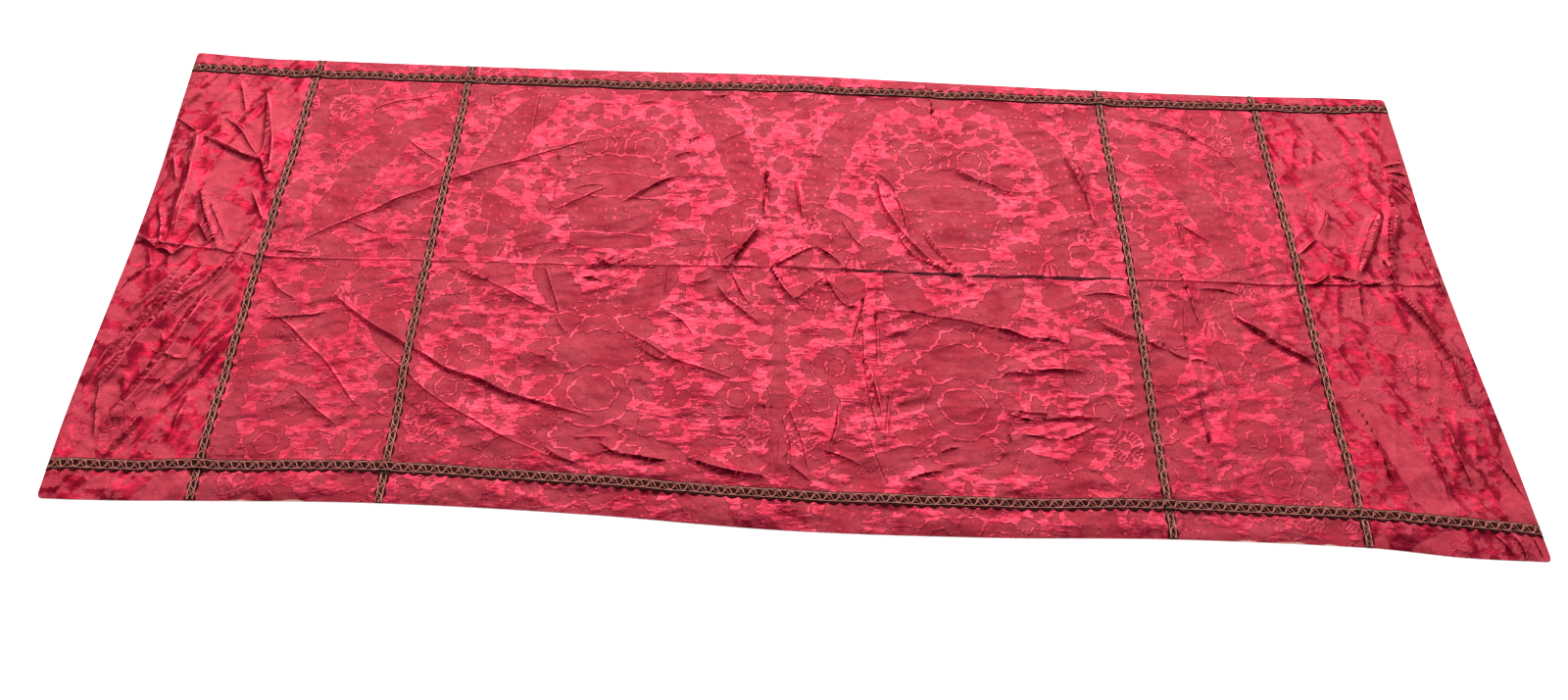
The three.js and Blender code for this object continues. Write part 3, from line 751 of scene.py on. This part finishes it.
def woven_figure(x, y, middle, raised):
    """How far inside the figure each place of a panel is, and whether it is spotted or hatched there."""
    across = np.abs((x - middle + loom_width / 2) % loom_width - loom_width / 2)
    across = across + 1.6 * rumple(x, y, 10, 10, 0, 21) + 1.0 * rumple(x, y, 5, 5, 0, 23)
    up = y - raised + 1.6 * rumple(x, y, 10, 10, 30, 22) + 1.0 * rumple(x, y, 5, 5, 0, 24)
    up = (up - repeat_bottom) % repeat_height + repeat_bottom
    figure, dots, lines = woven_motifs(across, up)
    for row in sprigs:
        figure = np.maximum(figure, floret_shape(row, across, up))
    return np.clip(figure, -6, 6), dots, lines


# The silk's finish
# Crimson satin damask: the ground is a bright satin, the figure a duller weave that looks browner, its
# leaves parted by fine lines of the ground, and the hem is rubbed pale in places. Light and shade are also
# painted in: painted shade on steep near slopes, in fine wrinkles and beside crease crests, a painted
# highlight along the crests, a painted shadow in the split, and on the outer panels painted shade on the
# ground and painted light on the figure.
ground_colour = (0.54, 0.050, 0.091, 1)
# darker ground: random cloudy tone, and painted shade on the outer panels
ground_tone_and_shade_colour = (0.42, 0.006, 0.034, 1)
figure_colour = (0.51, 0.058, 0.086, 1)
deep_figure_colour = (0.42, 0.013, 0.036, 1)
edge_colour = (0.34, 0.012, 0.030, 1)
# painted light on the figure of the outer panels
lit_figure_colour = (0.77, 0.082, 0.128, 1)
# pale line of the ground round the motifs, and painted highlight along the crests
outline_and_highlight_colour = (0.80, 0.110, 0.165, 1)
# painted shade colour, for steep near slopes and for the shadow lines beside crease crests
painted_shade_colour = (0.22, 0.002, 0.016, 1)
# painted shade colour of the fine wrinkles
wrinkle_shade_colour = (0.22, 0.002, 0.014, 1)
# painted shadow in the split
split_shadow_colour = (0.035, 0.002, 0.006, 1)
rubbed_colour = (0.80, 0.42, 0.34, 1)
spot_spacing = 17 * mm
vein_spacing = 21 * mm
thread_spacing = 0.9 * mm


def add_node(tree, kind, inputs=(), **settings):
    """A shader node with its settings and inputs; an input is a number, a colour or a node's output."""
    node = tree.nodes.new(kind)
    for name, value in settings.items():
        setattr(node, name, value)
    for name, value in dict(inputs).items():
        if isinstance(value, bpy.types.NodeSocket):
            tree.links.new(value, node.inputs[name])
        else:
            node.inputs[name].default_value = value
    return node


def new_finish(name):
    material = bpy.data.materials.new(name)
    material.use_nodes = True
    return material, material.node_tree, material.node_tree.nodes["Principled BSDF"]


def blend_colours(tree, share, first, second, how="MIX"):
    mix = add_node(tree, "ShaderNodeMix", data_type="RGBA", blend_type=how)
    for socket, value in ((mix.inputs[0], share), (mix.inputs[6], first), (mix.inputs[7], second)):
        if isinstance(value, bpy.types.NodeSocket):
            tree.links.new(value, socket)
        else:
            socket.default_value = value
    return mix.outputs[2]


def spread(tree, value, from_low, from_high, to_low=0.0, to_high=1.0, smooth=True):
    kind = "SMOOTHSTEP" if smooth else "LINEAR"
    inputs = {"Value": value, "From Min": from_low, "From Max": from_high}
    inputs |= {"To Min": to_low, "To Max": to_high}
    return add_node(tree, "ShaderNodeMapRange", inputs, interpolation_type=kind).outputs[0]


def maths(tree, how, first, second=0.0):
    return add_node(tree, "ShaderNodeMath", {0: first, 1: second}, operation=how).outputs[0]


def times(tree, first, second):
    return maths(tree, "MULTIPLY", first, second)


def read_mark(tree, name):
    return add_node(tree, "ShaderNodeAttribute", attribute_name=name).outputs["Fac"]


def read_place(tree):
    return add_node(tree, "ShaderNodeTexCoord").outputs["Object"]


def stretched(tree, place, scale, turn=0.0):
    inputs = {"Vector": place, "Rotation": (0, 0, turn), "Scale": scale}
    return add_node(tree, "ShaderNodeMapping", inputs).outputs[0]


def clouds(tree, place, scale, detail, inputs=(), output="Fac"):
    inputs = {"Vector": place, "Scale": scale, "Detail": detail} | dict(inputs)
    return add_node(tree, "ShaderNodeTexNoise", inputs).outputs[output]


def bands(tree, place, direction, scale, distortion, detail, detail_scale=1.0):
    inputs = {"Vector": place, "Scale": scale, "Distortion": distortion, "Detail": detail}
    inputs["Detail Scale"] = detail_scale
    return add_node(tree, "ShaderNodeTexWave", inputs, bands_direction=direction).outputs["Fac"]


def cells(tree, place, spacing, randomness, feature="F1"):
    inputs = {"Vector": place, "Scale": 1 / spacing, "Randomness": randomness}
    settings = {"voronoi_dimensions": "2D", "feature": feature}
    return add_node(tree, "ShaderNodeTexVoronoi", inputs, **settings).outputs["Distance"]


def raise_surface(tree, surface, height, strength, distance):
    inputs = {"Strength": strength, "Distance": distance, "Height": height}
    bump = add_node(tree, "ShaderNodeBump", inputs)
    tree.links.new(bump.outputs[0], surface.inputs["Normal"])


silk, tree, surface = new_finish("silk_damask")
place = read_place(tree)
inside = maths(tree, "SUBTRACT", read_mark(tree, "figure"), 0.3)
figure = spread(tree, inside, -0.8, 0.8)
spots = cells(tree, stretched(tree, place, (1, 0.78, 0)), spot_spacing, 0.5)
spots = times(tree, spread(tree, spots, 0.25, 0.15), read_mark(tree, "dots"))
sway = clouds(tree, place, 60.0, 2.0, output="Color")
sway = add_node(tree, "ShaderNodeVectorMath", {0: sway, "Scale": 0.016}, operation="SCALE").outputs[0]
vein_place = add_node(tree, "ShaderNodeVectorMath", {0: place, 1: sway}, operation="ADD").outputs[0]
veins = spread(tree, cells(tree, vein_place, vein_spacing, 0.95, "DISTANCE_TO_EDGE"), 0.065, 0.015)
hatching = spread(tree, bands(tree, place, "Y", 70.0, 2.5, 1.0, 30.0), 0.55, 0.9)
hatching = times(tree, hatching, read_mark(tree, "lines"))
leaf_lines = spread(tree, bands(tree, place, "DIAGONAL", 50.0, 16.0, 2.0, 6.0), 0.72, 0.96)
leaf_lines = times(tree, leaf_lines, 0.34)
open_marks = maths(tree, "MAXIMUM", times(tree, spots, 0.6), times(tree, hatching, 0.3))
open_marks = maths(tree, "MAXIMUM", open_marks, times(tree, veins, 0.28))
open_marks = maths(tree, "MAXIMUM", open_marks, leaf_lines)
figure = times(tree, figure, maths(tree, "SUBTRACT", 1.0, open_marks))
outline = maths(tree, "ABSOLUTE", maths(tree, "ADD", inside, 0.4))
outline = times(tree, spread(tree, outline, 1.2, 0.2), 0.2)
cloudy = spread(tree, clouds(tree, place, 14.0, 4.0, {"Roughness": 0.6}), 0.35, 0.68)
# the ground is darker in random clouds of tone, and on the outer panels by painted shade
tone_and_panel_shade = maths(tree, "ADD", times(tree, cloudy, 0.5), read_mark(tree, "outer_panel_shading"))
tone_and_panel_shade = add_node(tree, "ShaderNodeClamp", {"Value": tone_and_panel_shade}).outputs[0]
ground = blend_colours(tree, tone_and_panel_shade, ground_colour, ground_tone_and_shade_colour)
# painted shade: dark mottling and fine dark wrinkle lines on the ground, fainter on the figure, stand in for
# the shading of small wrinkles in the satin
wrinkle_place = stretched(tree, place, (0.6, 1, 1), 0.3)
shade_mottle = clouds(tree, wrinkle_place, 75.0, 6.0, {"Roughness": 0.75})
wrinkles = clouds(tree, wrinkle_place, 48.0, 4.0, {"Distortion": 0.5})
wrinkles = spread(tree, maths(tree, "ABSOLUTE", maths(tree, "SUBTRACT", wrinkles, 0.5)), 0.04, 0.0)
wrinkle_shade = maths(tree, "MAXIMUM", spread(tree, shade_mottle, 0.56, 0.38), times(tree, wrinkles, 0.75))
ground = blend_colours(tree, times(tree, wrinkle_shade, 0.8), ground, wrinkle_shade_colour)
matt = blend_colours(tree, times(tree, cloudy, 0.7), figure_colour, deep_figure_colour)
edging = maths(tree, "ABSOLUTE", maths(tree, "SUBTRACT", inside, 1.0))
matt = blend_colours(tree, times(tree, spread(tree, edging, 1.0, 0.2), 0.5), matt, edge_colour)
# painted light: the figure of the outer panels is painted lighter
matt = blend_colours(tree, times(tree, read_mark(tree, "outer_panel_shading"), 0.8), matt, lit_figure_colour)
matt = blend_colours(tree, times(tree, wrinkle_shade, 0.3), matt, wrinkle_shade_colour)
colour = blend_colours(tree, figure, ground, matt)
colour = blend_colours(tree, outline, colour, outline_and_highlight_colour)
fibres = clouds(tree, stretched(tree, place, (1, 0.35, 1)), 420.0, 3.0)
fibres = spread(tree, fibres, 0.0, 1.0, 0.15, 1.15, False)
colour = blend_colours(tree, 0.3, colour, fibres, "MULTIPLY")
# painted shadow: a dark line on the near side of each crest
crest_off = read_mark(tree, "crest_off")
crest_strength = read_mark(tree, "crest_strength")
crest_shadow_reach = maths(tree, "ADD", crest_off, times(tree, crest_strength, 3.0))
crest_shadow_line = times(tree, spread(tree, crest_off, 0.7, -0.5), spread(tree, crest_shadow_reach, -0.7, 0.7))
crest_shadow_line = times(tree, crest_shadow_line, spread(tree, crest_strength, 0.0, 0.7))
# painted highlight: a pale line along the far side of each crest
crest_highlight = times(tree, spread(tree, crest_off, -0.4, 0.8), spread(tree, crest_off, 3.2, 1.4))
crest_highlight = times(tree, crest_highlight, spread(tree, crest_strength, 0.2, 1.0, 0.0, 0.4))
# painted highlight and painted shade on crests and slopes, real rubbing on the hem, and painted shadow in
# the split
painted_light_and_wear = (
    (crest_highlight, outline_and_highlight_colour),
    (maths(tree, "MAXIMUM", times(tree, read_mark(tree, "slope_shade"), 0.75), crest_shadow_line), painted_shade_colour),
    (spread(tree, read_mark(tree, "rubbed"), 0.35, 0.75), rubbed_colour),
    # painted shadow: the split is coloured near-black
    (spread(tree, read_mark(tree, "split"), -0.6, 0.6), split_shadow_colour),
)
for share, mark_colour in painted_light_and_wear:
    colour = blend_colours(tree, share, colour, mark_colour)
tree.links.new(colour, surface.inputs["Base Color"])
tree.links.new(spread(tree, figure, 0, 1, 0.38, 0.60), surface.inputs["Roughness"])
tree.links.new(spread(tree, figure, 0, 1, 0.5, 0.10), surface.inputs["Metallic"])
surface.inputs["Specular Tint"].default_value = (1.0, 0.24, 0.27, 1)
surface.inputs["Specular IOR Level"].default_value = 0.25
threads = bands(tree, place, "Y", 1 / thread_spacing / 6.3, 1.2, 1.0)
slubs = clouds(tree, stretched(tree, place, (0.35, 1, 1)), 130.0, 4.0)
crinkle = clouds(tree, stretched(tree, place, (0.5, 1, 1)), 42.0, 3.0, {"Distortion": 0.4})
relief = maths(tree, "ADD", times(tree, slubs, 1.7), times(tree, threads, 0.08))
relief = maths(tree, "ADD", relief, times(tree, crinkle, 2.0))
relief = times(tree, relief, spread(tree, figure, 0, 1, 1.0, 0.4))
relief = times(tree, relief, spread(tree, read_mark(tree, "outer_panel_shading"), 0, 1, 1.0, 0.0, False))
relief = maths(tree, "ADD", relief, times(tree, figure, 0.15))
raise_surface(tree, surface, relief, 1.0, 1.0 * mm)

# The six panels
# The two centre panels are whole loom widths, the others narrower pieces of the same silk. Each is one thin
# sheet, hemmed where it meets an edge; a split runs along the storage crease of the right centre panel,
# painted in as a near-black line of shadow, not cut.
silk_thickness = 0.8 * mm
seam_gap = -0.3
corner_round = 7.0
edge_roll = 3.0
edge_drop = 0.12
split_from = 64
split_to = 517
split_half = 2.4
split_start_ramp = 25
split_end_ramp = 8
slope_reach = 1.3
rub_depth = 5
panels = (
    # name, node, left line, right line, middle of the repeat, rise of the repeat, painted shade of the
    # ground and painted light on the figure
    ("silk_outer_left", "panel_outer_left", "left", "seam_1", -724, -40, 0.6),
    ("silk_inner_left", "panel_inner_left", "seam_1", "seam_2", -542, -100, 0.08),
    ("silk_centre_left", "panel_centre_left", "seam_2", "centre", -308, 0, 0.0),
    ("silk_centre_right", "panel_centre_right", "centre", "seam_3", 237, 0, 0.0),
    ("silk_inner_right", "panel_inner_right", "seam_3", "seam_4", 482, -100, 0.08),
    ("silk_outer_right", "panel_outer_right", "seam_4", "right", 702, 150, 0.5),
)


def lay_panel(left, right, share_x, share_y):
    """Places on one panel, from shares of its width and depth."""
    inset_left = seam_gap / 2 if left != "left" else 0
    inset_right = seam_gap / 2 if right != "right" else 0
    x = across_x(left, 0.0) + share_x * (across_x(right, 0.0) - across_x(left, 0.0))
    for _ in range(2):
        y = along_y("bottom", x) + share_y * (along_y("top", x) - along_y("bottom", x))
        low = across_x(left, y) + inset_left
        x = low + share_x * (across_x(right, y) - inset_right - low)
    return x, y


def round_corners(x, y):
    """Draws the four outer corners in a little, as turned hems are."""
    near = np.clip(1 - np.hypot(*edge_gaps(x, y)) / corner_round, 0, 1)
    pull = near * corner_round * 0.3
    return x - np.sign(x) * pull, y - np.sign(y) * pull


def finish_mesh(bm, name):
    mesh = bpy.data.meshes.new(name)
    bm.to_mesh(mesh)
    bm.free()
    return mesh


def add_object(name, data):
    added = bpy.data.objects.new(name, data)
    bpy.context.scene.collection.objects.link(added)
    return added


for name, node, left, right, middle, raised, depth in panels:
    width = across_x(right, 0.0) - across_x(left, 0.0)
    height = along_y("top", (across_x(left, 0.0) + across_x(right, 0.0)) / 2) * 2
    step = outer_cell if left == "left" or right == "right" else cell
    bm = bmesh.new()
    bmesh.ops.create_grid(bm, x_segments=round(width / step), y_segments=round(height / step), size=0.5)
    for edge in bm.edges:
        edge.smooth = not edge.is_boundary
    mesh = finish_mesh(bm, name)
    flat = np.empty(len(mesh.vertices) * 3, np.float32)
    mesh.vertices.foreach_get("co", flat)
    shares = flat.reshape(-1, 3).astype(float) + 0.5
    x, y = lay_panel(left, right, np.clip(shares[:, 0], 0, 1), np.clip(shares[:, 1], 0, 1))
    inner = np.abs(shares - 0.5).max(1) < 0.4999 - step / width
    crest_x, crest_y = drawn_to_crests(x.copy(), y.copy())
    x = np.where(inner, crest_x, x)
    y = np.where(inner, crest_y, y)
    figure_in, dots, lines = woven_figure(x, y, middle, raised)
    x, y = round_corners(x, y)
    top = silk_top(x, y)
    top -= edge_drop * np.clip(1 - np.minimum(*edge_gaps(x, y)) / edge_roll, 0, 1) ** 2
    mesh.vertices.foreach_set("co", (np.stack((x, y, top), 1) * mm).ravel().astype(np.float32))
    mesh.update()
    split_line = along_y("crease", x) + 1.6 * rumple(x, y, 24, 400, 0, 31)
    ragged = split_half * (1 + 0.5 * rumple(x, y, 13, 400, 0, 32))
    ends = np.clip(np.minimum((x - split_from) / split_start_ramp, (split_to - x) / split_end_ramp), -1, 1)
    # painted shade: slopes that face the near side, away from the far light, are painted darker the steeper
    # they are
    slope = silk_top(x, y + slope_reach) - silk_top(x, y - slope_reach)
    slope += 0.45 * np.abs(silk_top(x + slope_reach, y) - silk_top(x - slope_reach, y))
    slope /= 2 * slope_reach
    closest, strength = nearest_crest(x, y)
    rub = np.clip(1 - (y - along_y("bottom", x)) / rub_depth, 0, 1)
    rub *= 0.5 + 0.5 * rumple(x, y, 24, 60, 0, 33)
    worn_part = np.exp(-(((x + 745) / 70) ** 2)) + np.exp(-(((x - 680) / 80) ** 2))
    marks = {
        "split": np.clip(ragged * ends - np.abs(y - split_line), -3, 3),
        "slope_shade": np.clip((slope - 0.15) / 0.5, 0, 1),
        "crest_off": closest,
        "crest_strength": strength,
        "rubbed": rub * np.clip(worn_part * 1.6, 0, 1),
        "figure": figure_in,
        "dots": dots * (1 - depth),
        "lines": lines,
        # painted shade on the outer panels' ground and painted light on their figure
        "outer_panel_shading": np.full(len(x), depth),
    }
    for mark, values in marks.items():
        mesh.attributes.new(mark, "FLOAT", "POINT").data.foreach_set("value", values.astype(np.float32))
    mesh.materials.append(silk)
    mesh.polygons.foreach_set("use_smooth", [True] * len(mesh.polygons))
    sheet = add_object(name, mesh)
    body = sheet.modifiers.new("thickness", "SOLIDIFY")
    body.thickness = silk_thickness
    body.offset = -1
    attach(sheet, "root")
    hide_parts(node)

# The gimp braids
# Narrow furnishing gimp on a dark tape: fine tan cords run along it like rails, and a pink cord and two
# plaited brown ones sway between them. Dark maroon cord makes scallops on the long sides and a chain of
# loops on the seams. It is sewn flat over the seams and along the long sides.
rail_radius = 0.42
bar_radius = 0.5
plait_radius = 0.95
loop_radius = 1.15
rail_inset = 2.8
cord_sides = 5
rail_step = 7.0
steps_per_pitch = 10
crossing_ramp = 7.0
crossing_lift = 2.6
joining_distance = 0.02 * mm
yarn_colours = {
    "gimp_dark": (0.024, 0.002, 0.002, 1),
    "gimp_brown": (0.215, 0.054, 0.042, 1),
    "gimp_tan": (0.560, 0.270, 0.215, 1),
    "gimp_pink": (0.620, 0.200, 0.180, 1),
}
dark, brown, tan, pink = range(4)
yarns = []
for yarn_name, yarn_colour in yarn_colours.items():
    yarn, tree, surface = new_finish(yarn_name)
    place = read_place(tree)
    patches = clouds(tree, place, 160.0, 3.0)
    worn = tuple(min(1, part * 1.8 + 0.003) for part in yarn_colour[:3]) + (1,)
    colour = blend_colours(tree, spread(tree, patches, 0.35, 0.75), yarn_colour, worn)
    tree.links.new(colour, surface.inputs["Base Color"])
    surface.inputs["Roughness"].default_value = 0.75
    surface.inputs["Specular IOR Level"].default_value = 0.1
    raise_surface(tree, surface, bands(tree, place, "DIAGONAL", 190.0, 3.0, 1.0), 0.6, 0.4 * mm)
    yarns.append(yarn)

braids = (
    # name, node, line, half width, pitch of the loops, side that the loops are on
    ("gimp_seam_1", "seam_braid_1", "seam_1", 6.9, 21.5, 0),
    ("gimp_seam_2", "seam_braid_2", "seam_2", 6.9, 21.5, 0),
    ("gimp_seam_3", "seam_braid_3", "seam_3", 6.9, 21.5, 0),
    ("gimp_seam_4", "seam_braid_4", "seam_4", 6.9, 21.5, 0),
    ("gimp_top", "braid_top", "top_braid", 8.8, 17.75, 1),
    ("gimp_bottom", "braid_bottom", "bottom_braid", 8.8, 17.75, -1),
)


def on_braid(line, along, across):
    """A place on a braid: how far along its line and to which side, with the silk's face below it."""
    if line in braided_seams:
        middle = across_x(line, along)
        return middle + across, along, silk_top(middle, along)
    middle = along_y(line, along)
    top = silk_top(along, middle)
    for seam in braided_seams:
        away = np.abs(along - across_x(seam, middle)) - seam_braid_half
        top = top + crossing_lift * (1 - np.clip(away / crossing_ramp, 0, 1)) ** 1.3
    return along, middle + across, top


def sewn_cord(bm, line, start, end, steps, sway, lift, radius, flat, yarn_index):
    """Rolls a grid into a closed cord that sways across the braid as it runs along it."""
    made = bmesh.ops.create_grid(bm, x_segments=steps, y_segments=cord_sides, size=0.5)["verts"]
    shares = np.array([vert.co[:2] for vert in made]) + 0.5
    along = start + shares[:, 0] * (end - start)
    turn = 2 * math.pi * shares[:, 1]
    step = (end - start) / steps / 4
    x, y, top = on_braid(line, along, sway(along))
    ahead_x, ahead_y, _ = on_braid(line, along + step, sway(along + step))
    behind_x, behind_y, _ = on_braid(line, along - step, sway(along - step))
    way = np.hypot(ahead_x - behind_x, ahead_y - behind_y)
    x = x - (ahead_y - behind_y) / way * np.cos(turn) * radius
    y = y + (ahead_x - behind_x) / way * np.cos(turn) * radius
    z = top + lift + np.sin(turn) * radius * flat
    for vert, place_x, place_y, place_z in zip(made, x, y, z):
        vert.co = (place_x * mm, place_y * mm, place_z * mm)
    faces = {face for vert in made for face in vert.link_faces}
    rims = {edge for face in faces for edge in face.edges if edge.is_boundary}
    bmesh.ops.remove_doubles(bm, verts=made, dist=joining_distance)
    rims = {edge for edge in rims if edge.is_valid and edge.is_boundary}
    caps = bmesh.ops.holes_fill(bm, edges=list(rims), sides=0)["faces"]
    whole = [face for face in faces if face.is_valid] + caps
    for face in whole:
        face.material_index = yarn_index
        face.smooth = True
    bmesh.ops.recalc_face_normals(bm, faces=whole)


def straight(offset):
    return lambda along: np.full_like(along, offset)


def wave(size, pitch, squareness, phase=0.0):
    """A sway from side to side, once each pitch, rounder or squarer."""
    size /= math.tanh(squareness)
    return lambda along: size * np.tanh(squareness * np.sin(2 * math.pi * along / pitch + phase))


def scallops(inside, outside, pitch, side):
    """A run of arches that stand out to one side, one each pitch."""
    return lambda along: side * (inside + (outside - inside) * np.abs(np.sin(math.pi * along / pitch)))


for name, node, line, half, pitch, side in braids:
    if line in braided_seams:
        start = along_y("bottom", across_x(line, -430.0)) + 1
        end = along_y("top", across_x(line, 430.0)) - 1
    else:
        start = across_x("left", along_y(line, -1045.0)) + 1
        end = across_x("right", along_y(line, 1045.0)) - 1
    rail = half - rail_inset
    along_rail = round((end - start) / rail_step)
    along_loops = round((end - start) / pitch * steps_per_pitch)
    over = rail - plait_radius
    cords = [
        # steps, sway, lift, radius, flatness, yarn
        (along_rail, straight(0.0), 0.45, half - 1.8, 0.06, dark),
        (along_rail, straight(rail), 1.7, rail_radius, 0.9, tan),
        (along_rail, straight(-rail), 1.7, rail_radius, 0.9, tan),
    ]
    if side:
        cords += [
            (along_rail, straight(-side * (rail + 1.2)), 1.0, 1.2, 0.6, dark),
            (along_loops, scallops(rail - 1.2, half + 0.9, pitch, side), 1.05, loop_radius, 0.75, dark),
        ]
    else:
        cords += [
            (along_loops, wave(0.3 - half, 2 * pitch, 1.0), 1.15, loop_radius, 0.75, dark),
            (along_loops, wave(half - 0.3, 2 * pitch, 1.0), 1.05, loop_radius, 0.75, dark),
        ]
    cords += [
        (along_loops, wave(over, 2 * pitch, 0.9), 1.45, plait_radius, 0.8, brown),
        (along_loops, wave(-over, 2 * pitch, 0.9), 1.3, plait_radius, 0.8, brown),
        (along_loops, wave(rail - 1.2, pitch, 1.4, 0.8), 1.85, bar_radius, 0.9, pink),
    ]
    bm = bmesh.new()
    for cord in cords:
        sewn_cord(bm, line, start, end, *cord)
    mesh = finish_mesh(bm, name)
    for yarn in yarns:
        mesh.materials.append(yarn)
    braid = add_object(name, mesh)
    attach(braid, "root")
    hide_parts(node)

# The floor and the light
# A plain pale floor, a broad soft light from beyond the far side, and a weak one beyond each far corner.
floor_size = 8.0
world_strength = 0.11
bm = bmesh.new()
bmesh.ops.create_grid(bm, x_segments=1, y_segments=1, size=floor_size)
floor = add_object("floor", finish_mesh(bm, "floor"))
floor_finish, tree, surface = new_finish("pale_floor")
surface.inputs["Base Color"].default_value = (0.95, 0.95, 0.95, 1)
surface.inputs["Roughness"].default_value = 0.9
surface.inputs["Emission Color"].default_value = (1, 1, 1, 1)
surface.inputs["Emission Strength"].default_value = 0.5
floor.data.materials.append(floor_finish)

light_colour = (1.0, 0.985, 0.97)
light_depth = 1.4
lights = (
    # name, place, width, power
    ("far_light", (0.2, 5.0, 4.4), 6.0, 640),
    ("left_light", (-3.0, 1.9, 4.2), 1.8, 88),
    ("right_light", (3.0, 1.9, 4.2), 1.8, 64),
)
for name, spot, width, power in lights:
    lamp = bpy.data.lights.new(name, "AREA")
    lamp.shape = "RECTANGLE"
    lamp.size = width
    lamp.size_y = light_depth
    lamp.energy = power
    lamp.color = light_colour
    light = add_object(name, lamp)
    light.location = spot
    light.rotation_euler = (-Vector(spot)).to_track_quat("-Z", "Y").to_euler()
world = bpy.data.worlds.new("studio")
world.use_nodes = True
sky = world.node_tree.nodes["Background"]
sky.inputs["Color"].default_value = (1, 1, 1, 1)
sky.inputs["Strength"].default_value = world_strength
bpy.context.scene.world = world
bpy.context.scene.view_settings.view_transform = "Standard"

# The camera
# The hanging is seen from standing height over its near long side, with the wide lens of a phone.
camera_place = (-0.0872, -1.0871, 1.5075)
camera_pitch = math.radians(57.786)
camera_yaw = math.radians(3.543)
camera_roll = math.radians(5.211)
lens_length = 27.045
sensor_width = 36
ahead = Vector((math.sin(camera_yaw) * math.cos(camera_pitch),
                math.cos(camera_yaw) * math.cos(camera_pitch), -math.sin(camera_pitch)))
level_right = Vector((math.cos(camera_yaw), -math.sin(camera_yaw), 0))
level_up = level_right.cross(ahead)
to_right = level_right * math.cos(camera_roll) + level_up * math.sin(camera_roll)
to_top = level_up * math.cos(camera_roll) - level_right * math.sin(camera_roll)
lens = bpy.data.cameras.new("camera")
lens.sensor_width = sensor_width
lens.lens = lens_length
camera = add_object("camera", lens)
turned = Matrix((to_right, to_top, -ahead)).transposed().to_4x4()
camera.matrix_world = Matrix.Translation(camera_place) @ turned
bpy.context.scene.camera = camera
